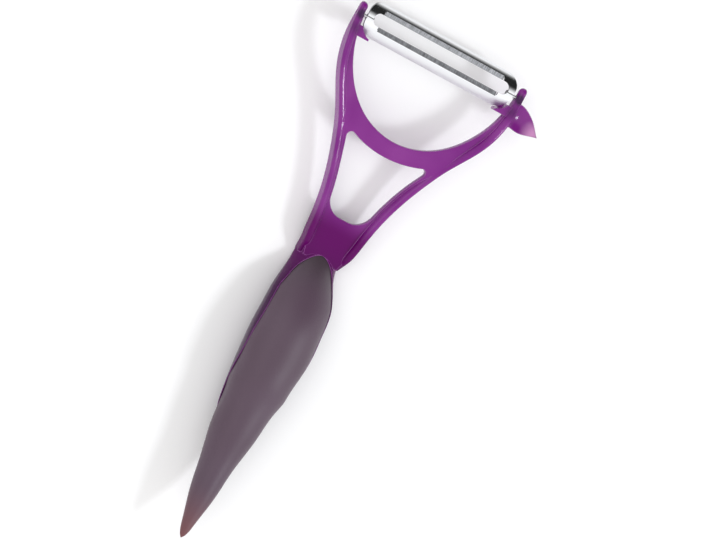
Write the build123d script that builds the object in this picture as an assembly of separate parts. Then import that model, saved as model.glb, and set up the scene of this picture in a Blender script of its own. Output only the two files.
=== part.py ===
"""A Y-shaped vegetable peeler with a swivelling slotted blade, lying on the flat back of its handle.

Frame: +Y runs along the handle to the blade, +X along the blade, +Z up out of the flat back.
The origin is the middle of the flat back. Lengths are millimetres.
"""
from build123d import *

import math
import os

# Whole object
PIVOT_TO_ORIGIN = 103.0      # from the blade's axis back to the middle of the flat back
PIVOT_HEIGHT = 13.5          # blade's axis above the flat back
FORK_LENGTH = 75.0           # from the blade's axis back to where the handle's body begins
HANDLE_LENGTH = 107.5        # from there to the point of the grip
OVERRUN = 8.0                # how far every cutting tool runs past what it cuts

# Fork: two arms that run into the waist's side ribs, joined by a plate
HEAD_HALF_WIDTH = 33.25
RIB_THICKNESS = 2.6
RIB_DEPTH = 6.0
RIB_ROUNDING = 0.8
RIB_INNER_ROUNDING = 1.5     # on the side of the plate
ARM_TIP = 4.1                # arm above the blade's axis
ARM_TIP_DEPTH = 3.4
PLATE_THICKNESS = 2.2
PLATE_LIFT = 1.9             # how far the arch stands before the middle of the ribs
WAIST_DROP = 9.75            # how far the middle of the ribs sinks below the blade's axis
NECK_DIP = 3.75              # further dip of the ribs where they run under the grip
U_DEPTH = 32.6               # blade's axis to the bottom of the U
ARCH_WIDTH = 5.9             # plate between the U and the window
ARCH_RADIUS = 37.0           # window's top edge
WINDOW_LENGTH = 25.1
WINDOW_FLANGE = 0.8          # plate left inside the ribs along the window
WINDOW_TOP_CORNER = 1.5
WINDOW_FOOT_CORNER = 7.0

# Blade and its pins
BLADE_GAP = 1.2              # between each end of the blade and its arm
BLADE_WIDTH = 12.5
BLADE_AHEAD = 0.25           # blade's middle ahead of its axis
BLADE_ARCH = 3.0             # rise of the arched section
BLADE_SHEET = 0.8
BLADE_CROWN = 0.9            # crown of the arch in front of the axis
BLADE_FAR_CORNER = 4.4
BLADE_NEAR_CORNER = 5.4
SLOT_LENGTH = 54.2
SLOT_WIDTH = 4.4
SLOT_OFFSET = 0.9            # slot's middle ahead of the axis
EDGE_LENGTH = 47.6           # each cutting edge
EDGE_BEVEL = 1.5
EDGE_LAND = 0.08             # what the grinding leaves of the sheet
RELIEF_WIDTH = 0.4           # small notch that ends each cutting edge
RELIEF_DEPTH = 1.0
KNUCKLE_RADIUS = 1.0
KNUCKLE_LENGTH = 2.6
SEAM_WIDTH = 0.25            # seam of the rolled knuckle
SEAM_DEPTH = 0.2
PIN_RADIUS = 0.6
PIN_PLAY = 0.05              # running clearance in the arm
PIN_SETBACK = 0.15           # pin's end inside the arm's outer face
PIN_GRIP = 2.2               # how far each pin reaches into the blade's knuckle

# Blade stop on each arm: a fin under the blade, a gusset round its lower corner, a wall behind that corner
FIN_REACH = 5.3              # from the arm along the blade, at the fin's front
FIN_BACK_REACH = 4.4         # the same at its back
FIN_THICKNESS = 0.55
FIN_FRONT = 1.6              # fin's front edge before the blade's axis
WALL_START = 3.4             # blade's axis to the top of the wall
WALL_SETBACK = 3.55          # blade's axis back to the wall
WALL_THICKNESS = 0.8
WALL_REACH = 3.0
GUSSET_CLEARANCE = 0.6       # round the blade's lower corner

# Eye remover: a pointed scoop on the right arm
SCOOP_REACH = 9.6
SCOOP_TOP = 1.2              # below the blade's axis
SCOOP_HEIGHT = 9.0
SCOOP_RADIUS = 8.5
SCOOP_WALL = 1.1
SCOOP_BACK = 2.3             # back of the scoop's bowl behind the blade's axis
SCOOP_BOWL_OUT = 3.0         # bowl's middle out from the arm
SCOOP_BOWL_DROP = 6.0        # bowl's middle below the blade's axis

# Handle: purple shell under the grip, soft skin over a stiff core on a tang
GRIP_HALF_WIDTH = 11.7
GRIP_HEIGHT = 21.0
SHELL_PROUD = 0.3            # shell stands this much outside the skin
SKIN_THICKNESS = 2.2
FLAT_TRIM = 0.25             # what the flat back takes off the round underside
CORE_START = 13.0            # behind the handle body's beginning
CORE_LENGTH = 80.0
CORE_FIRST_SHARE = 0.080     # the core follows the handle's sections between these places
CORE_LAST_SHARE = 0.900
SHELL_LAST_SHARE = 0.800     # the shell follows them as far as this
TANG_LENGTH = 55.0           # from the handle body's beginning
TANG_HALF_WIDTH = 4.0
TANG_THICKNESS = 3.0
TANG_HEIGHT = 6.6            # middle of the tang above the flat back
LEAF_TIP = 2.5               # behind the handle body's beginning
LEAF_HALF_WIDTH = 12.4
LEAF_LENGTH = 18.5           # from its tip to its full width

# Half outline of the fork: along the fork from the axis, out from the middle
FORK_OUTLINE_SHARES = [
    (-0.160, 1.000), (-0.055, 1.000), (0.085, 0.992), (0.160, 0.964), (0.235, 0.912),
    (0.308, 0.832), (0.383, 0.729), (0.456, 0.633), (0.531, 0.553), (0.604, 0.484),
    (0.679, 0.423), (0.752, 0.374), (0.827, 0.336), (0.901, 0.309), (0.973, 0.286),
    (1.033, 0.256), (1.090, 0.222),
]
# Half outline of the U: along its depth, out to the arms' inner faces
U_OUTLINE_SHARES = [
    (-0.400, 1.000), (0.0, 1.000), (0.270, 0.948), (0.540, 0.818), (0.710, 0.682), (0.880, 0.464),
    (1.000, 0.0),
]
# Side lines of the fork: along the fork, sink of the ribs' middle, its dip at the neck,
# lift of the plate before that middle, and how far the ribs have grown from the tips' depth
FORK_SIDE_SHARES = [
    (0.000, 0.000, 0.0, 0.0, 0.08),
    (0.060, 0.000, 0.0, 0.0, 0.57),
    (0.120, 0.000, 0.0, 0.0, 0.93),
    (0.180, 0.001, 0.0, 0.0, 1.0),
    (0.240, 0.012, 0.0, 0.0, 1.0),
    (0.300, 0.049, 0.0, 0.16, 1.0),
    (0.360, 0.113, 0.0, 0.50, 1.0),
    (0.420, 0.189, 0.0, 0.86, 1.0),
    (0.480, 0.267, 0.0, 0.90, 1.0),
    (0.540, 0.342, 0.0, 0.46, 1.0),
    (0.600, 0.413, 0.0, 0.12, 1.0),
    (0.680, 0.503, 0.0, 0.0, 1.0),
    (0.750, 0.577, 0.0, 0.0, 1.0),
    (0.870, 0.692, 0.0, 0.0, 1.0),
    (0.950, 0.760, 0.03, 0.0, 1.0),
    (1.000, 0.800, 0.19, 0.0, 1.0),
    (1.033, 0.825, 0.61, 0.0, 1.0),
    (1.063, 0.847, 1.0, 0.0, 1.0),
]
# Handle sections: along the handle, half width, height of the widest place, top, bottom, flat
HANDLE_SHARES = [
    (0.000, 0.645, 0.045, 0.240, 0.0, 0.80),
    (0.047, 0.675, 0.050, 0.380, 0.0, 0.78),
    (0.088, 0.735, 0.145, 0.530, 0.0, 0.66),
    (0.140, 0.875, 0.335, 0.705, 0.0, 0.56),
    (0.205, 0.959, 0.450, 0.875, 0.0, 0.48),
    (0.288, 0.988, 0.503, 0.975, 0.0, 0.43),
    (0.382, 0.964, 0.575, 1.000, 0.0, 0.38),
    (0.484, 0.873, 0.590, 0.965, 0.010, 0.33),
    (0.586, 0.732, 0.545, 0.912, 0.095, 0.25),
    (0.688, 0.612, 0.535, 0.872, 0.212, 0.20),
    (0.791, 0.458, 0.592, 0.850, 0.349, 0.20),
    (0.884, 0.322, 0.667, 0.832, 0.496, 0.20),
    (0.949, 0.190, 0.717, 0.808, 0.622, 0.20),
    (0.986, 0.094, 0.746, 0.788, 0.700, 0.20),
]
GRIP_POINT_HEIGHT_SHARE = 0.751
# Leaf tongue's half outline: along it, out from the middle
LEAF_SHARES = [(0.0, 0.0), (0.070, 0.230), (0.185, 0.400), (0.365, 0.570), (0.640, 0.745), (1.0, 1.0)]
# Side line between shell and skin: along the handle, share of the grip's height
PARTING_SHARES = [
    (0.010, 0.160), (0.055, 0.240), (0.088, 0.310), (0.130, 0.440), (0.175, 0.550),
    (0.230, 0.600), (0.300, 0.622), (0.345, 0.620), (0.400, 0.575), (0.450, 0.470),
    (0.505, 0.375), (0.555, 0.310), (0.600, 0.190), (0.640, -0.050), (0.660, -0.250),
]
# Scoop's outline: out from the arm, down from its top; first the upper edge, then the lower one
SCOOP_UPPER_SHARES = [(0.280, 0.050), (0.559, 0.200), (0.775, 0.400), (0.910, 0.610), (1.0, 0.825)]
SCOOP_LOWER_SHARES = [(1.0, 0.825), (0.820, 0.895), (0.590, 0.975), (0.354, 1.005), (0.120, 0.970)]


def along(distance):
    """Y of a place that lies this far behind the blade's axis."""
    return PIVOT_TO_ORIGIN - distance


def handle_y(distance):
    """Y of a place that lies this far behind the handle body's beginning."""
    return along(FORK_LENGTH + distance)


def symmetric_face(half_outline):
    """Closed face from a half outline and its mirror image, with straight lines across its open ends."""
    mirrored = [(-x, y) for x, y in half_outline]
    if half_outline[-1][0] == 0:
        edges = [Spline(*half_outline, *reversed(mirrored[:-1]))]
    else:
        edges = [Spline(*half_outline), Spline(*mirrored), Line(half_outline[-1], mirrored[-1])]
    edges.append(Line(half_outline[0], mirrored[0]))
    return make_face(edges)


def upright(face, low, high):
    """Solid that stands on a front-view face between two heights."""
    return extrude(Pos(0, 0, low) * face, high - low)


def crosswise(face, half_width):
    """Solid from a side-view face, drawn as Y and Z, to the same distance left and right."""
    return extrude(Plane.YZ * face, half_width, both=True)


def block(low, high):
    """Box between two corners."""
    size = [b - a for a, b in zip(low, high)]
    middle = [(a + b) / 2 for a, b in zip(low, high)]
    return Pos(*middle) * Box(*size)


def bar(radius, start, end):
    """Round bar along the blade's axis between two places on X."""
    return Pos((start + end) / 2, along(0), PIVOT_HEIGHT) * Rot(0, 90, 0) * Cylinder(radius, end - start)


def both_sides(piece):
    """A piece and its mirror image on the other arm."""
    return [piece, mirror(piece, Plane.YZ)]


def solids_above_table(piece):
    """The piece without anything that reaches below the flat back."""
    reach = PIVOT_TO_ORIGIN + HANDLE_LENGTH + FORK_LENGTH
    return piece - block((-reach, -reach, -reach), (reach, reach, 0))


INNER_HALF_WIDTH = HEAD_HALF_WIDTH - RIB_THICKNESS
BLADE_HALF_LENGTH = INNER_HALF_WIDTH - BLADE_GAP
OUTER_ARCH_RADIUS = ((BLADE_WIDTH / 2) ** 2 + BLADE_ARCH ** 2) / (2 * BLADE_ARCH)
HIGH = GRIP_HEIGHT + OVERRUN
WIDE = HEAD_HALF_WIDTH + SCOOP_REACH + OVERRUN


def outline_points(inset):
    """Half outline of the fork in front view, moved this far inward."""
    points = [Vector(HEAD_HALF_WIDTH * w, along(FORK_LENGTH * d)) for d, w in FORK_OUTLINE_SHARES]
    before = [points[0], *points[:-1]]
    after = [*points[1:], points[-1]]
    moved = []
    for point, last_point, next_point in zip(points, before, after):
        run = (next_point - last_point).normalized()
        moved.append((point.X + inset * run.Y, point.Y - inset * run.X))
    return moved


def side_face(front, back):
    """Side-view face between a front line and a back line that run from the arms to the neck."""
    return make_face([Spline(*front), Spline(*back), Line(front[0], back[0]), Line(front[-1], back[-1])])


def ribs():
    """The two arms, each running down into a leg and a side rib, with rounded edges."""
    outer = outline_points(0)
    inner = outline_points(RIB_THICKNESS)
    strip = make_face([Spline(*outer), Spline(*inner), Line(outer[0], inner[0]), Line(outer[-1], inner[-1])])
    tip_half = ARM_TIP_DEPTH / 2
    tip_y = along(-ARM_TIP + tip_half)
    front = [(tip_y, PIVOT_HEIGHT + tip_half)]
    back = [(tip_y, PIVOT_HEIGHT - tip_half)]
    for place, sink, dip, lift, growth in FORK_SIDE_SHARES:
        y = along(FORK_LENGTH * place)
        middle = PIVOT_HEIGHT - WAIST_DROP * sink - NECK_DIP * dip
        half_depth = (ARM_TIP_DEPTH + (RIB_DEPTH - ARM_TIP_DEPTH) * growth) / 2
        front.append((y, middle + half_depth))
        back.append((y, middle - half_depth))
    side = make_face([
        Spline(*front),
        Spline(*back),
        Line(front[-1], back[-1]),
        ThreePointArc(front[0], (along(-ARM_TIP), PIVOT_HEIGHT), back[0]),
    ])
    rough = upright(strip, -OVERRUN, HIGH) & crosswise(side, WIDE)
    inner_edges = rough.edges().filter_by(lambda edge: edge.length > FORK_LENGTH / 2).sort_by(Axis.X)[:2]
    rounded = fillet(inner_edges, RIB_INNER_ROUNDING)
    outer_edges = rounded.edges().filter_by(lambda edge: edge.length > FORK_LENGTH / 2).sort_by(Axis.X)[-2:]
    return both_sides(fillet(outer_edges, RIB_ROUNDING))


def plate():
    """The arch between the arms and the waist's web, with the U and the window open."""
    u_opening = symmetric_face([(INNER_HALF_WIDTH * w, along(U_DEPTH * d)) for d, w in U_OUTLINE_SHARES])
    arch_low = U_DEPTH + ARCH_WIDTH
    foot = arch_low + WINDOW_LENGTH
    above_arch = Pos(0, along(arch_low - ARCH_RADIUS)) * Circle(ARCH_RADIUS)
    below_foot = Pos(0, along(foot + FORK_LENGTH / 2)) * Rectangle(HEAD_HALF_WIDTH, FORK_LENGTH)
    window = symmetric_face(outline_points(RIB_THICKNESS + WINDOW_FLANGE)) - above_arch - below_foot
    window = window.faces().sort_by(Axis.Y)[0]
    window = fillet(window.vertices().group_by(Axis.Y)[0], WINDOW_FOOT_CORNER)
    window = fillet(window.vertices().group_by(Axis.Y)[-1], WINDOW_TOP_CORNER)
    face = symmetric_face(outline_points(RIB_THICKNESS / 2)) - u_opening - window
    front = []
    back = []
    for place, sink, dip, lift, growth in FORK_SIDE_SHARES:
        y = along(FORK_LENGTH * place)
        middle = PIVOT_HEIGHT - WAIST_DROP * sink + PLATE_LIFT * lift
        front.append((y, middle + PLATE_THICKNESS / 2))
        back.append((y, middle - PLATE_THICKNESS / 2))
    return upright(face, -OVERRUN, HIGH) & crosswise(side_face(front, back), WIDE)


def handle_loft(rows, proud):
    """Sections of the handle's body, each this much outside the grip's surface, ready to be lofted."""
    sections = []
    for place, half, widest, top, bottom, flat in rows:
        half_width = GRIP_HALF_WIDTH * half + proud
        half_flat = half_width * flat
        widest_z = GRIP_HEIGHT * widest
        low_z = GRIP_HEIGHT * bottom - FLAT_TRIM - proud
        up = GRIP_HEIGHT * top + proud - widest_z
        down = widest_z - low_z
        section = make_face([
            EllipticalCenterArc((0, widest_z), half_width, up, 0, arc_size=180),
            EllipticalCenterArc((-half_flat, widest_z), half_width - half_flat, down, 180, arc_size=90),
            Line((-half_flat, low_z), (half_flat, low_z)),
            EllipticalCenterArc((half_flat, widest_z), half_width - half_flat, down, 270, arc_size=90),
        ])
        y = handle_y(HANDLE_LENGTH * place)
        sections.append(Plane(origin=(0, y, 0), x_dir=(1, 0, 0), z_dir=(0, -1, 0)) * section)
    return sections


def grip_region():
    """Everything the soft grip claims: inside its leaf outline and above the parting line."""
    leaf = [(LEAF_HALF_WIDTH * w, handle_y(LEAF_TIP + LEAF_LENGTH * d)) for d, w in LEAF_SHARES]
    wide_start = handle_y(LEAF_TIP + LEAF_LENGTH)
    far_end = handle_y(HANDLE_LENGTH + OVERRUN)
    behind = Pos(0, (wide_start + far_end) / 2) * Rectangle(2 * LEAF_HALF_WIDTH, wide_start - far_end)
    front_view = symmetric_face(list(reversed(leaf))) + behind
    parting = [(handle_y(HANDLE_LENGTH * d), GRIP_HEIGHT * h) for d, h in PARTING_SHARES]
    above = Polyline(parting[-1], (far_end, parting[-1][1]), (far_end, HIGH), (parting[0][0], HIGH), parting[0])
    side_view = make_face([Spline(*parting), *above.edges()])
    return upright(front_view, -OVERRUN, HIGH) & crosswise(side_view, WIDE)


def core_block():
    """The stiff core as a plain body, before the tang is let into it."""
    rows = [row for row in HANDLE_SHARES if CORE_FIRST_SHARE < row[0] < CORE_LAST_SHARE]
    start = handle_y(CORE_START)
    end = handle_y(CORE_START + CORE_LENGTH)
    return loft(handle_loft(rows, -SKIN_THICKNESS)) & block((-WIDE, end, -OVERRUN), (WIDE, start, HIGH))


def tang():
    """Flat tongue that carries the fork into the core."""
    low = TANG_HEIGHT - TANG_THICKNESS / 2
    start = handle_y(CORE_START)
    end = handle_y(TANG_LENGTH)
    return block((-TANG_HALF_WIDTH, end, low), (TANG_HALF_WIDTH, start, low + TANG_THICKNESS))


def blade_outline(margin):
    """Front-view face of the blade, grown by a margin all round."""
    face = Pos(0, along(-BLADE_AHEAD)) * Rectangle(2 * (BLADE_HALF_LENGTH + margin), BLADE_WIDTH + 2 * margin)
    face = fillet(face.vertices().group_by(Axis.Y)[-1], BLADE_FAR_CORNER + margin)
    return fillet(face.vertices().group_by(Axis.Y)[0], BLADE_NEAR_CORNER + margin)


def blade_stop():
    """Right arm's stop: a fin under the blade, a gusset round its lower corner, a wall behind that corner."""
    back = PIVOT_HEIGHT - WALL_SETBACK - WALL_THICKNESS
    front = PIVOT_HEIGHT + FIN_FRONT
    root = INNER_HALF_WIDTH + RIB_THICKNESS / 4
    foot = BLADE_WIDTH / 2 - BLADE_AHEAD + GUSSET_CLEARANCE + FIN_THICKNESS
    top_view = make_face(Polyline(
        (INNER_HALF_WIDTH - FIN_REACH, front),
        (INNER_HALF_WIDTH - FIN_BACK_REACH, back),
        (root, back),
        (root, front),
        close=True,
    ))
    start_plane = Plane(origin=(0, along(WALL_START), 0), x_dir=(1, 0, 0), z_dir=(0, -1, 0))
    fin = extrude(start_plane * top_view, foot - WALL_START) - upright(blade_outline(GUSSET_CLEARANCE), -OVERRUN, HIGH)
    wall_front = back + WALL_THICKNESS
    return fin + block((INNER_HALF_WIDTH - WALL_REACH, along(foot), back), (root, along(WALL_START), wall_front))


def scoop():
    """Pointed eye remover on the right arm: a dished wall, hollow toward the front."""
    upper = [(HEAD_HALF_WIDTH + SCOOP_REACH * w, along(SCOOP_TOP + SCOOP_HEIGHT * d)) for w, d in SCOOP_UPPER_SHARES]
    lower = [(HEAD_HALF_WIDTH + SCOOP_REACH * w, along(SCOOP_TOP + SCOOP_HEIGHT * d)) for w, d in SCOOP_LOWER_SHARES]
    root_x = INNER_HALF_WIDTH + RIB_THICKNESS / 2
    root_top = (root_x, along(SCOOP_TOP))
    root_foot = (root_x, along(SCOOP_TOP + SCOOP_HEIGHT))
    outline = make_face([Spline(root_top, *upper), Spline(*lower, root_foot), Line(root_foot, root_top)])
    centre_z = PIVOT_HEIGHT - SCOOP_BACK + SCOOP_RADIUS
    centre = Pos(HEAD_HALF_WIDTH + SCOOP_BOWL_OUT, along(SCOOP_BOWL_DROP), centre_z)
    bowl = centre * Sphere(SCOOP_RADIUS) - centre * Sphere(SCOOP_RADIUS - SCOOP_WALL)
    return upright(outline, -OVERRUN, centre_z) & bowl


def yoke_frame(region, core):
    """Fork, stops, scoop, shell under the grip and tang, moulded as one piece."""
    rows = [row for row in HANDLE_SHARES if row[0] < SHELL_LAST_SHARE]
    shell = loft(handle_loft(rows, SHELL_PROUD)) - region - core
    pin_bore = bar(PIN_RADIUS + PIN_PLAY, BLADE_HALF_LENGTH, HEAD_HALF_WIDTH + OVERRUN)
    frame = plate() + ribs() - both_sides(pin_bore)
    frame = frame - region - core
    frame = frame + shell
    frame = frame + both_sides(blade_stop()) + scoop() + tang()
    return solids_above_table(frame)


def grip_skin(region, core):
    """Soft skin over the core, with its leaf tongue let into the shell."""
    point = Vertex(0, handle_y(HANDLE_LENGTH), GRIP_HEIGHT * GRIP_POINT_HEIGHT_SHARE)
    body = loft(handle_loft(HANDLE_SHARES, 0) + [point])
    return solids_above_table((body & region) - core)


def sheet_height(radius, ahead):
    """Height of a face of the arched sheet at a distance ahead of the blade's axis."""
    centre_z = PIVOT_HEIGHT + BLADE_CROWN - OUTER_ARCH_RADIUS
    return centre_z + math.sqrt(radius ** 2 - (ahead - BLADE_AHEAD) ** 2)


def edge_grinding(side):
    """What is ground off the front along one lip of the slot; side is +1 for the far lip, -1 for the near."""
    lip = SLOT_OFFSET + side * SLOT_WIDTH / 2
    start = lip + side * EDGE_BEVEL
    lip_z = sheet_height(OUTER_ARCH_RADIUS - BLADE_SHEET, lip) + EDGE_LAND
    start_z = sheet_height(OUTER_ARCH_RADIUS, start)
    past = 2 * lip - start
    past_z = 2 * lip_z - start_z
    wedge = make_face(Polyline(
        (along(0) + past, past_z),
        (along(0) + start, start_z),
        (along(0) + start, HIGH),
        (along(0) + past, HIGH),
        close=True,
    ))
    return crosswise(wedge, EDGE_LENGTH / 2)


def edge_relief(side):
    """Small notches that end one cutting edge, left and right."""
    lip = along(0) + SLOT_OFFSET + side * SLOT_WIDTH / 2
    end = lip + side * RELIEF_DEPTH
    low_y = min(lip, end)
    high_y = max(lip, end)
    start_x = EDGE_LENGTH / 2
    return both_sides(block((start_x, low_y, -OVERRUN), (start_x + RELIEF_WIDTH, high_y, HIGH)))


def peeling_blade():
    """Arched slotted sheet with a ground lip on each side of the slot and a rolled knuckle at each end."""
    long = BLADE_HALF_LENGTH + OVERRUN
    centre_z = PIVOT_HEIGHT + BLADE_CROWN - OUTER_ARCH_RADIUS
    edge_rise = OUTER_ARCH_RADIUS - BLADE_ARCH
    sector = make_face(Polyline(
        (along(-BLADE_AHEAD), centre_z),
        (along(-BLADE_AHEAD + BLADE_WIDTH), centre_z + 2 * edge_rise),
        (along(-BLADE_AHEAD - BLADE_WIDTH), centre_z + 2 * edge_rise),
        close=True,
    ))
    sheet = bar(OUTER_ARCH_RADIUS, -long, long) - bar(OUTER_ARCH_RADIUS - BLADE_SHEET, -long, long)
    sheet = Pos(0, BLADE_AHEAD, BLADE_CROWN - OUTER_ARCH_RADIUS) * sheet
    sheet = sheet & crosswise(sector, long) & upright(blade_outline(0), centre_z, HIGH)
    slot = Pos(0, along(0) + SLOT_OFFSET) * SlotOverall(SLOT_LENGTH, SLOT_WIDTH)
    blade = sheet - upright(slot, -OVERRUN, HIGH)
    blade = blade + both_sides(bar(KNUCKLE_RADIUS, BLADE_HALF_LENGTH - KNUCKLE_LENGTH, BLADE_HALF_LENGTH))
    for side in (1, -1):
        blade = blade - edge_grinding(side) - edge_relief(side)
    seam_x = BLADE_HALF_LENGTH - KNUCKLE_LENGTH
    seam_z = PIVOT_HEIGHT + KNUCKLE_RADIUS - SEAM_DEPTH
    seam = block((seam_x, along(SEAM_WIDTH / 2), seam_z), (BLADE_HALF_LENGTH, along(-SEAM_WIDTH / 2), HIGH))
    blade = blade - both_sides(seam)
    return blade - both_sides(bar(PIN_RADIUS, BLADE_HALF_LENGTH - PIN_GRIP, BLADE_HALF_LENGTH + OVERRUN))


region = grip_region()
core = core_block()
frame = yoke_frame(region, core)
skin = grip_skin(region, core)
blade = peeling_blade()
pin_right, pin_left = both_sides(bar(PIN_RADIUS, BLADE_HALF_LENGTH - PIN_GRIP, HEAD_HALF_WIDTH - PIN_SETBACK))

os.makedirs("parts", exist_ok=True)
export_step(frame, "parts/yoke_frame.step")
export_step(core - tang(), "parts/grip_core.step")
export_step(skin, "parts/grip_skin.step")
export_step(blade, "parts/peeling_blade.step")
export_step(pin_left, "parts/blade_pin_left.step")
export_step(pin_right, "parts/blade_pin_right.step")
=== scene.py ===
"""A Y-shaped vegetable peeler on its back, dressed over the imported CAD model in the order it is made."""

import math

import bpy
from mathutils import Matrix, Vector

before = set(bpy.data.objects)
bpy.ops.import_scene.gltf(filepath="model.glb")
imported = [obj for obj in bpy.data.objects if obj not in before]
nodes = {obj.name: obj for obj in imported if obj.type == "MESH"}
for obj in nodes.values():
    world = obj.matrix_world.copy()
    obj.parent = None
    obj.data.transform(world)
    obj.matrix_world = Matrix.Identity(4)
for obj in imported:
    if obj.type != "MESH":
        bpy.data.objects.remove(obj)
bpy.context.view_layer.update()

# The yoke frame is one purple moulding: the fork, its stops, the eye remover and the shell under the grip.
# It is a tinted glossy plastic from a polished mould, with painted highlights pale along its edges and
# grooves and painted light in the eye remover's point.
# Each arm looks darker round the pin that it holds. From the web down the frame is painted darker, as deeper
# plastic and as shade in the web's recess, and the shell beside the grip is painted near black as shade.


def new_material(name):
    """A fresh node material: its tree, its Principled shader and its object coordinates."""
    material = bpy.data.materials.new(name)
    material.use_nodes = True
    tree = material.node_tree
    shader = tree.nodes["Principled BSDF"]
    place = tree.nodes.new("ShaderNodeTexCoord")
    return material, tree, shader, place.outputs["Object"]


def dress(node, material):
    """Gives a CAD node one material in place of its packed one."""
    node.data.materials.clear()
    node.data.materials.append(material)


def mould_skin_group():
    """Shared effect: slow ripple and fine pores of a moulded surface, as a height and a mottle mask."""
    group = bpy.data.node_groups.new("moulded surface", "ShaderNodeTree")
    face = group.interface
    face.new_socket("Place", in_out="INPUT", socket_type="NodeSocketVector")
    face.new_socket("Ripple per metre", in_out="INPUT", socket_type="NodeSocketFloat")
    face.new_socket("Pores per metre", in_out="INPUT", socket_type="NodeSocketFloat")
    face.new_socket("Pore share", in_out="INPUT", socket_type="NodeSocketFloat")
    face.new_socket("Height", in_out="OUTPUT", socket_type="NodeSocketFloat")
    face.new_socket("Mottle", in_out="OUTPUT", socket_type="NodeSocketFloat")
    enter = group.nodes.new("NodeGroupInput")
    leave = group.nodes.new("NodeGroupOutput")
    ripple = group.nodes.new("ShaderNodeTexNoise")
    pores = group.nodes.new("ShaderNodeTexNoise")
    mix = group.nodes.new("ShaderNodeMix")
    mix.data_type = "FLOAT"
    ripple.inputs["Detail"].default_value = 1.0
    pores.inputs["Detail"].default_value = 3.0
    group.links.new(enter.outputs["Place"], ripple.inputs["Vector"])
    group.links.new(enter.outputs["Place"], pores.inputs["Vector"])
    group.links.new(enter.outputs["Ripple per metre"], ripple.inputs["Scale"])
    group.links.new(enter.outputs["Pores per metre"], pores.inputs["Scale"])
    group.links.new(enter.outputs["Pore share"], mix.inputs["Factor"])
    group.links.new(ripple.outputs["Fac"], mix.inputs["A"])
    group.links.new(pores.outputs["Fac"], mix.inputs["B"])
    group.links.new(mix.outputs["Result"], leave.inputs["Height"])
    group.links.new(ripple.outputs["Fac"], leave.inputs["Mottle"])
    return group


def place_group(tree, group, place, **values):
    """Puts a shared effect into a material with this material's own values."""
    node = tree.nodes.new("ShaderNodeGroup")
    node.node_tree = group
    tree.links.new(place, node.inputs["Place"])
    for name, value in values.items():
        node.inputs[name.replace("_", " ")].default_value = value
    return node


def colour_ramp(tree, factor, stops):
    """Ramp from a mask to colours; stops are (place, (r, g, b))."""
    ramp = tree.nodes.new("ShaderNodeValToRGB")
    while len(ramp.color_ramp.elements) < len(stops):
        ramp.color_ramp.elements.new(1.0)
    for element, (place, colour) in zip(ramp.color_ramp.elements, stops):
        element.position = place
        element.color = (*colour, 1.0)
    tree.links.new(factor, ramp.inputs["Fac"])
    return ramp.outputs["Color"]


def raise_surface(tree, shader, height, strength, distance, softened=None):
    """Feeds a height into the shader's normal through a bump, with edges rounded where that is given."""
    bump = tree.nodes.new("ShaderNodeBump")
    if softened:
        edges = tree.nodes.new("ShaderNodeBevel")
        edges.samples = 6
        edges.inputs["Radius"].default_value = softened
        tree.links.new(edges.outputs["Normal"], bump.inputs["Normal"])
    bump.inputs["Strength"].default_value = strength
    bump.inputs["Distance"].default_value = distance
    tree.links.new(height, bump.inputs["Height"])
    tree.links.new(bump.outputs["Normal"], shader.inputs["Normal"])


def soft_spot_group():
    """Shared effect: a round mask that is full at its centre and gone at its reach."""
    group = bpy.data.node_groups.new("soft spot", "ShaderNodeTree")
    group.interface.new_socket("Place", in_out="INPUT", socket_type="NodeSocketVector")
    group.interface.new_socket("Centre", in_out="INPUT", socket_type="NodeSocketVector")
    group.interface.new_socket("Reach", in_out="INPUT", socket_type="NodeSocketFloat")
    group.interface.new_socket("Mask", in_out="OUTPUT", socket_type="NodeSocketFloat")
    enter = group.nodes.new("NodeGroupInput")
    leave = group.nodes.new("NodeGroupOutput")
    distance = group.nodes.new("ShaderNodeVectorMath")
    distance.operation = "DISTANCE"
    fade = group.nodes.new("ShaderNodeMapRange")
    fade.interpolation_type = "SMOOTHSTEP"
    fade.inputs["From Max"].default_value = 0.0
    group.links.new(enter.outputs["Place"], distance.inputs[0])
    group.links.new(enter.outputs["Centre"], distance.inputs[1])
    group.links.new(distance.outputs["Value"], fade.inputs["Value"])
    group.links.new(enter.outputs["Reach"], fade.inputs["From Min"])
    group.links.new(fade.outputs["Result"], leave.inputs["Mask"])
    return group


def tint(tree, under, mask, colour, most):
    """Lays a colour over another one where a mask says, at most this much."""
    amount = tree.nodes.new("ShaderNodeMath")
    amount.operation = "MULTIPLY"
    amount.inputs[1].default_value = most
    over = tree.nodes.new("ShaderNodeMix")
    over.data_type = "RGBA"
    over.inputs["B"].default_value = (*colour, 1.0)
    tree.links.new(mask, amount.inputs[0])
    tree.links.new(amount.outputs[0], over.inputs["Factor"])
    tree.links.new(under, over.inputs["A"])
    return over.outputs["Result"]


def fade_along_y(tree, place, start, end):
    """Mask along the handle: nothing at the first place on Y, full at the second."""
    split = tree.nodes.new("ShaderNodeSeparateXYZ")
    fade = tree.nodes.new("ShaderNodeMapRange")
    fade.interpolation_type = "SMOOTHSTEP"
    fade.inputs["From Min"].default_value = start
    fade.inputs["From Max"].default_value = end
    tree.links.new(place, split.inputs["Vector"])
    tree.links.new(split.outputs["Y"], fade.inputs["Value"])
    return fade.outputs["Result"]


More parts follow.
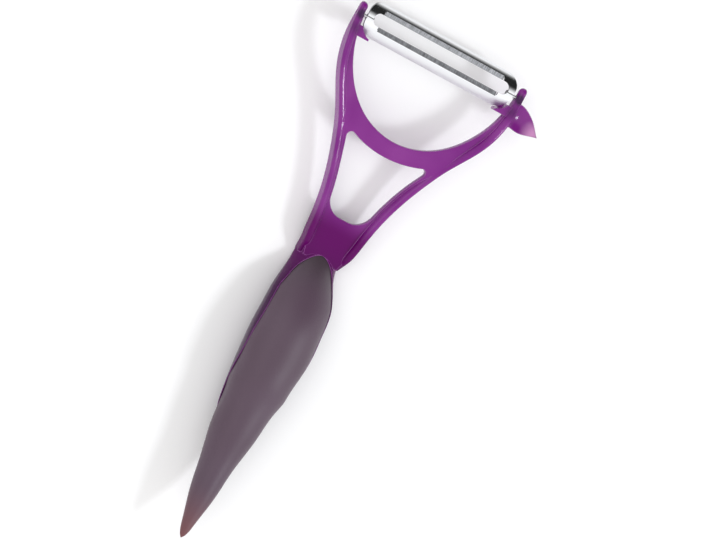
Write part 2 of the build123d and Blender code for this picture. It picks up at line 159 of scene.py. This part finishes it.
def near_edges(tree, reach, start, full):
    """Mask of the strips beside sharp corners: their rounded normal leaves the surface's own one."""
    rounded = tree.nodes.new("ShaderNodeBevel")
    rounded.samples = 6
    rounded.inputs["Radius"].default_value = reach
    own = tree.nodes.new("ShaderNodeNewGeometry")
    agree = tree.nodes.new("ShaderNodeVectorMath")
    agree.operation = "DOT_PRODUCT"
    mask = tree.nodes.new("ShaderNodeMapRange")
    mask.interpolation_type = "SMOOTHSTEP"
    mask.inputs["From Min"].default_value = start
    mask.inputs["From Max"].default_value = full
    tree.links.new(rounded.outputs["Normal"], agree.inputs[0])
    tree.links.new(own.outputs["Normal"], agree.inputs[1])
    tree.links.new(agree.outputs["Value"], mask.inputs["Value"])
    return mask.outputs["Result"]


mould_skin = mould_skin_group()
soft_spot = soft_spot_group()
PURPLE_DEEP = (0.165, 0.004, 0.185)
PURPLE_LIGHT = (0.208, 0.022, 0.225)
WEB_DEPTH_AND_SHADE = (0.096, 0.000, 0.090)
SHELL_PAINTED_SHADE = (0.038, 0.003, 0.042)
PIN_SHADE = (0.036, 0.000, 0.050)
PAINTED_EDGE_HIGHLIGHT = (0.420, 0.130, 0.440)
PAINTED_TIP_LIGHT = (0.700, 0.330, 0.620)
WEB_START_Y = 0.043
WEB_FULL_Y = 0.034
SHELL_START_Y = 0.032
SHELL_FULL_Y = 0.006
PIN_SPOTS = [(0.0318, 0.1030, 0.0155), (-0.0318, 0.1030, 0.0155)]
SOCKET_SPOTS = [(0.0316, 0.0980, 0.0155), (-0.0316, 0.0980, 0.0155)]
EYE_LIGHT_CENTRE = (0.0425, 0.0945, 0.0150)
PIN_SPOT_REACH = 0.0030
SOCKET_SPOT_REACH = 0.0042
EYE_LIGHT_REACH = 0.0060
EDGE_SOFTNESS = 0.0009
HIGHLIGHT_REACH = 0.0006
HIGHLIGHT_START = 0.985
HIGHLIGHT_FULL = 0.80
purple, tree, shader, place = new_material("purple_plastic")
surface = place_group(tree, mould_skin, place, Ripple_per_metre=70.0, Pores_per_metre=2600.0, Pore_share=0.12)
colour = colour_ramp(tree, surface.outputs["Mottle"], [(0.35, PURPLE_DEEP), (0.65, PURPLE_LIGHT)])
# Painted shade: from the web down, the frame is painted deeper purple, as deeper plastic and as the shade in
# the web's recess.
web = fade_along_y(tree, place, WEB_START_Y, WEB_FULL_Y)
colour = tint(tree, colour, web, WEB_DEPTH_AND_SHADE, most=0.9)
# Painted shade: the shell beside the grip is painted near black, standing in for the shade in the gap along
# the grip.
shell = fade_along_y(tree, place, SHELL_START_Y, SHELL_FULL_Y)
colour = tint(tree, colour, shell, SHELL_PAINTED_SHADE, most=1.0)
# Painted highlight: the strips beside sharp edges and grooves are painted pale purple, standing in for the
# light they catch.
edges = near_edges(tree, HIGHLIGHT_REACH, HIGHLIGHT_START, HIGHLIGHT_FULL)
colour = tint(tree, colour, edges, PAINTED_EDGE_HIGHLIGHT, most=0.75)
for spot in PIN_SPOTS:
    mask = place_group(tree, soft_spot, place, Centre=spot, Reach=PIN_SPOT_REACH).outputs["Mask"]
    colour = tint(tree, colour, mask, PIN_SHADE, most=1.5)
for spot in SOCKET_SPOTS:
    mask = place_group(tree, soft_spot, place, Centre=spot, Reach=SOCKET_SPOT_REACH).outputs["Mask"]
    colour = tint(tree, colour, mask, PIN_SHADE, most=0.6)
# Painted light: the eye remover's point is painted pale pink, standing in for light shining through its thin
# tip and for its highlight.
mask = place_group(tree, soft_spot, place, Centre=EYE_LIGHT_CENTRE, Reach=EYE_LIGHT_REACH).outputs["Mask"]
colour = tint(tree, colour, mask, PAINTED_TIP_LIGHT, most=1.0)
tree.links.new(colour, shader.inputs["Base Color"])
gloss = tree.nodes.new("ShaderNodeMapRange")
gloss.inputs["To Min"].default_value = 0.40
gloss.inputs["To Max"].default_value = 0.0
tree.links.new(web, gloss.inputs["Value"])
tree.links.new(gloss.outputs["Result"], shader.inputs["Coat Weight"])
shader.inputs["Coat Roughness"].default_value = 0.05
shader.inputs["Roughness"].default_value = 0.20
shader.inputs["Specular IOR Level"].default_value = 0.12
height = surface.outputs["Height"]
raise_surface(tree, shader, height, strength=0.2, distance=0.0002, softened=EDGE_SOFTNESS)
dress(nodes["yoke_frame"], purple)

# The core is the stiff heart of the handle, moulded in plain plastic over the frame's tang.
# Nothing of it shows: the skin and the frame's shell close round it.
CORE_DARK = (0.05, 0.04, 0.05)
CORE_PALE = (0.08, 0.07, 0.08)
core_plastic, tree, shader, place = new_material("core_plastic")
surface = place_group(tree, mould_skin, place, Ripple_per_metre=60.0, Pores_per_metre=1800.0, Pore_share=0.4)
colour = colour_ramp(tree, surface.outputs["Mottle"], [(0.3, CORE_DARK), (0.7, CORE_PALE)])
tree.links.new(colour, shader.inputs["Base Color"])
shader.inputs["Roughness"].default_value = 0.6
dress(nodes["grip_core"], core_plastic)

# The grip skin is soft plum-grey rubber moulded over the core, with a leaf-shaped tongue let into the shell.
# It is matt with a fine spark-eroded texture, and it warms to brownish red where it thins at the point.
GRIP_DARK = (0.068, 0.036, 0.060)
GRIP_PALE = (0.080, 0.046, 0.074)
GRIP_TIP = (0.150, 0.042, 0.044)
GRIP_SHADE = (0.036, 0.024, 0.030)
TIP_START_Y = -0.058
TIP_FULL_Y = -0.085
LEAF_START_Y = 0.010
LEAF_FULL_Y = 0.027
soft_grip, tree, shader, place = new_material("soft_grip")
surface = place_group(tree, mould_skin, place, Ripple_per_metre=45.0, Pores_per_metre=2400.0, Pore_share=0.75)
colour = colour_ramp(tree, surface.outputs["Mottle"], [(0.3, GRIP_DARK), (0.7, GRIP_PALE)])
leaf = fade_along_y(tree, place, LEAF_START_Y, LEAF_FULL_Y)
colour = tint(tree, colour, leaf, GRIP_SHADE, most=0.8)
point = fade_along_y(tree, place, TIP_START_Y, TIP_FULL_Y)
colour = tint(tree, colour, point, GRIP_TIP, most=1.0)
tree.links.new(colour, shader.inputs["Base Color"])
shader.inputs["Roughness"].default_value = 0.50
shader.inputs["Sheen Weight"].default_value = 0.06
shader.inputs["Sheen Roughness"].default_value = 0.5
raise_surface(tree, shader, surface.outputs["Height"], strength=0.6, distance=0.0001)
dress(nodes["grip_skin"], soft_grip)

# The blade is stamped stainless sheet, arched, slotted and polished, with a rolled knuckle at each end.
# Both lips of the slot are ground flat, which leaves them greyer, with fine scratches across.
# The rear half is satin rather than bright, and the sheared rim is dull all round.


def polished_steel(name, tone, grain_per_metre, roughness):
    """Polished steel with a fine drawn grain: its material, tree, shader, place, colour and roughness."""
    material, tree, shader, place = new_material(name)
    stretch = tree.nodes.new("ShaderNodeMapping")
    stretch.inputs["Scale"].default_value = (0.03, 1.0, 1.0)
    grain = tree.nodes.new("ShaderNodeTexNoise")
    grain.inputs["Scale"].default_value = grain_per_metre
    grain.inputs["Detail"].default_value = 4.0
    tree.links.new(place, stretch.inputs["Vector"])
    tree.links.new(stretch.outputs["Vector"], grain.inputs["Vector"])
    duller = tuple(0.96 * channel for channel in tone)
    colour = colour_ramp(tree, grain.outputs["Fac"], [(0.3, duller), (0.7, tone)])
    rough = tree.nodes.new("ShaderNodeMapRange")
    rough.inputs["To Min"].default_value = roughness * 0.8
    rough.inputs["To Max"].default_value = roughness * 1.25
    tree.links.new(grain.outputs["Fac"], rough.inputs["Value"])
    tree.links.new(colour, shader.inputs["Base Color"])
    tree.links.new(rough.outputs["Result"], shader.inputs["Roughness"])
    shader.inputs["Metallic"].default_value = 1.0
    return material, tree, shader, place, colour, rough.outputs["Result"]


def within(tree, coordinate, middle, half):
    """Mask that is full where a coordinate lies within half a width of its middle."""
    band = tree.nodes.new("ShaderNodeMath")
    band.operation = "COMPARE"
    band.inputs[1].default_value = middle
    band.inputs[2].default_value = half
    tree.links.new(coordinate, band.inputs[0])
    return band.outputs[0]


def combine(tree, operation, first, second):
    """Two masks joined by one piece of arithmetic."""
    node = tree.nodes.new("ShaderNodeMath")
    node.operation = operation
    tree.links.new(first, node.inputs[0])
    tree.links.new(second, node.inputs[1])
    return node.outputs[0]


def roughen(tree, rough, mask, more):
    """Adds this much roughness where a mask says."""
    added = tree.nodes.new("ShaderNodeMath")
    added.operation = "MULTIPLY_ADD"
    added.inputs[1].default_value = more
    tree.links.new(mask, added.inputs[0])
    tree.links.new(rough, added.inputs[2])
    return added.outputs[0]


GROUND_HALF_LENGTH = 0.02385
GROUND_HALF_WIDTH = 0.00076
FAR_GROUND_Y = 0.10685
NEAR_GROUND_Y = 0.10095
GROUND_DARK = (0.130, 0.133, 0.140)
GROUND_PALE = (0.330, 0.335, 0.350)
SHEARED_TONE = (0.16, 0.16, 0.17)
SATIN_START_Y = 0.1030
SATIN_FULL_Y = 0.1005
SHEARED_TURN = 0.45
BLADE_TONE = (0.84, 0.85, 0.87)
blade_steel, tree, shader, place, polished, rough = polished_steel(
    "blade_steel", BLADE_TONE, grain_per_metre=2200.0, roughness=0.12
)
across_grain = tree.nodes.new("ShaderNodeMapping")
across_grain.inputs["Scale"].default_value = (1.0, 0.06, 0.06)
scratches = tree.nodes.new("ShaderNodeTexNoise")
scratches.inputs["Scale"].default_value = 5200.0
scratches.inputs["Detail"].default_value = 2.0
tree.links.new(place, across_grain.inputs["Vector"])
tree.links.new(across_grain.outputs["Vector"], scratches.inputs["Vector"])
ground_colour = colour_ramp(tree, scratches.outputs["Fac"], [(0.35, GROUND_DARK), (0.62, GROUND_PALE)])
split = tree.nodes.new("ShaderNodeSeparateXYZ")
tree.links.new(place, split.inputs["Vector"])
far_band = within(tree, split.outputs["Y"], FAR_GROUND_Y, GROUND_HALF_WIDTH)
near_band = within(tree, split.outputs["Y"], NEAR_GROUND_Y, GROUND_HALF_WIDTH)
between_ends = within(tree, split.outputs["X"], 0.0, GROUND_HALF_LENGTH)
ground = combine(tree, "MULTIPLY", combine(tree, "MAXIMUM", far_band, near_band), between_ends)
over = tree.nodes.new("ShaderNodeMix")
over.data_type = "RGBA"
tree.links.new(ground, over.inputs["Factor"])
tree.links.new(polished, over.inputs["A"])
tree.links.new(ground_colour, over.inputs["B"])
facing = tree.nodes.new("ShaderNodeTexCoord")
turn = tree.nodes.new("ShaderNodeSeparateXYZ")
tree.links.new(facing.outputs["Normal"], turn.inputs["Vector"])
sheared = within(tree, turn.outputs["Z"], 0.0, SHEARED_TURN)
colour = tint(tree, over.outputs["Result"], sheared, SHEARED_TONE, most=1.0)
tree.links.new(colour, shader.inputs["Base Color"])
rough = roughen(tree, rough, ground, more=0.30)
rough = roughen(tree, rough, fade_along_y(tree, place, SATIN_START_Y, SATIN_FULL_Y), more=0.34)
rough = roughen(tree, rough, sheared, more=0.25)
tree.links.new(rough, shader.inputs["Roughness"])
scored = combine(tree, "MULTIPLY", ground, scratches.outputs["Fac"])
raise_surface(tree, shader, scored, strength=0.3, distance=0.00004)
dress(nodes["peeling_blade"], blade_steel)

# The pins are short lengths of drawn stainless wire, fixed in the blade's knuckles.
# Each turns in the bore of its arm and ends just inside the arm's outer face.
PIN_TONE = (0.62, 0.62, 0.63)
pin_steel = polished_steel("pin_steel", PIN_TONE, grain_per_metre=6000.0, roughness=0.3)[0]
dress(nodes["blade_pin_left"], pin_steel)
dress(nodes["blade_pin_right"], pin_steel)

# The studio: a pale seamless table under an even white sky, with a key softbox on the right.
# A weak fill stands on the left, and a dark card beyond the blade gives the steel its black reflection.
# The camera has a long lens and looks down from the left, turned as in the photograph.
table_mesh = bpy.data.meshes.new("studio_table")
TABLE_REACH = 3.0
TABLE_SIGNS = [(-1, -1), (1, -1), (1, 1), (-1, 1)]
table_mesh.from_pydata([(TABLE_REACH * x, TABLE_REACH * y, 0) for x, y in TABLE_SIGNS], [], [(0, 1, 2, 3)])
studio_table = bpy.data.objects.new("studio_table", table_mesh)
bpy.context.scene.collection.objects.link(studio_table)
TABLE_TONE = 0.92
pale, _, shader, _ = new_material("pale_table")
shader.inputs["Base Color"].default_value = (TABLE_TONE, TABLE_TONE, TABLE_TONE, 1.0)
shader.inputs["Roughness"].default_value = 0.9
shader.inputs["Specular IOR Level"].default_value = 0.2
table_mesh.materials.append(pale)

LEAN = math.radians(20.0)
PITCH = math.radians(1.5)
TURN = math.radians(28.0)
CAMERA_DISTANCE = 2.5
PHOTO_WIDTH_AT_OBJECT = 0.2396
TARGET = Vector((0.0113, 0.02715, 0.0120))
back = Vector((-math.sin(LEAN) * math.cos(PITCH), math.sin(PITCH), math.cos(LEAN) * math.cos(PITCH)))
along_blade = Vector((1, 0, 0))
level = (along_blade - along_blade.dot(back) * back).normalized()
upward = back.cross(level)
right = level * math.cos(TURN) + upward * math.sin(TURN)
up = upward * math.cos(TURN) - level * math.sin(TURN)
camera_data = bpy.data.cameras.new("photo_camera")
camera_data.sensor_width = 36.0
camera_data.lens = camera_data.sensor_width * CAMERA_DISTANCE / PHOTO_WIDTH_AT_OBJECT
camera_data.clip_start = 0.01
camera = bpy.data.objects.new("photo_camera", camera_data)
bpy.context.scene.collection.objects.link(camera)
camera.matrix_world = Matrix((
    (right.x, up.x, back.x, TARGET.x + back.x * CAMERA_DISTANCE),
    (right.y, up.y, back.y, TARGET.y + back.y * CAMERA_DISTANCE),
    (right.z, up.z, back.z, TARGET.z + back.z * CAMERA_DISTANCE),
    (0, 0, 0, 1),
))
bpy.context.scene.camera = camera


def soft_light(name, size, power, colour, where, aim):
    """Square area light pointed at a place."""
    data = bpy.data.lights.new(name, "AREA")
    data.size = size
    data.color = colour
    data.energy = power
    light = bpy.data.objects.new(name, data)
    bpy.context.scene.collection.objects.link(light)
    light.location = where
    light.rotation_euler = (Vector(aim) - Vector(where)).to_track_quat("-Z", "Y").to_euler()


GRIP_MIDDLE = (0, 0, 0.01)
KEY_PLACE = (0.75, 0.02, 0.87)
KEY_COLOUR = (0.93, 0.96, 1.00)
FILL_PLACE = (-0.64, 0.05, 1.00)
FILL_COLOUR = (1.00, 0.96, 0.94)
soft_light("key_softbox", size=0.20, power=3.8, colour=KEY_COLOUR, where=KEY_PLACE, aim=GRIP_MIDDLE)
soft_light("fill_softbox", size=0.50, power=0.9, colour=FILL_COLOUR, where=FILL_PLACE, aim=GRIP_MIDDLE)
CARD_DIRECTION = Vector((0.342, 0.735, 0.585)).normalized()
CARD_EDGE = math.cos(math.radians(40))
CARD_FULL = math.cos(math.radians(13))
SKY_STRENGTH = 1.12
CARD_STRENGTH = 0.02
world = bpy.data.worlds.new("studio_air")
world.use_nodes = True
sky = world.node_tree
direction = sky.nodes.new("ShaderNodeTexCoord")
toward_card = sky.nodes.new("ShaderNodeVectorMath")
toward_card.operation = "DOT_PRODUCT"
toward_card.inputs[1].default_value = CARD_DIRECTION
card = sky.nodes.new("ShaderNodeMapRange")
card.interpolation_type = "SMOOTHSTEP"
card.inputs["From Min"].default_value = CARD_EDGE
card.inputs["From Max"].default_value = CARD_FULL
card.inputs["To Min"].default_value = SKY_STRENGTH
card.inputs["To Max"].default_value = CARD_STRENGTH
sky.links.new(direction.outputs["Generated"], toward_card.inputs[0])
sky.links.new(toward_card.outputs["Value"], card.inputs["Value"])
sky.links.new(card.outputs["Result"], sky.nodes["Background"].inputs["Strength"])
sky.nodes["Background"].inputs["Color"].default_value = (1.0, 1.0, 1.0, 1.0)
bpy.context.scene.world = world
bpy.context.scene.view_settings.view_transform = "Standard"
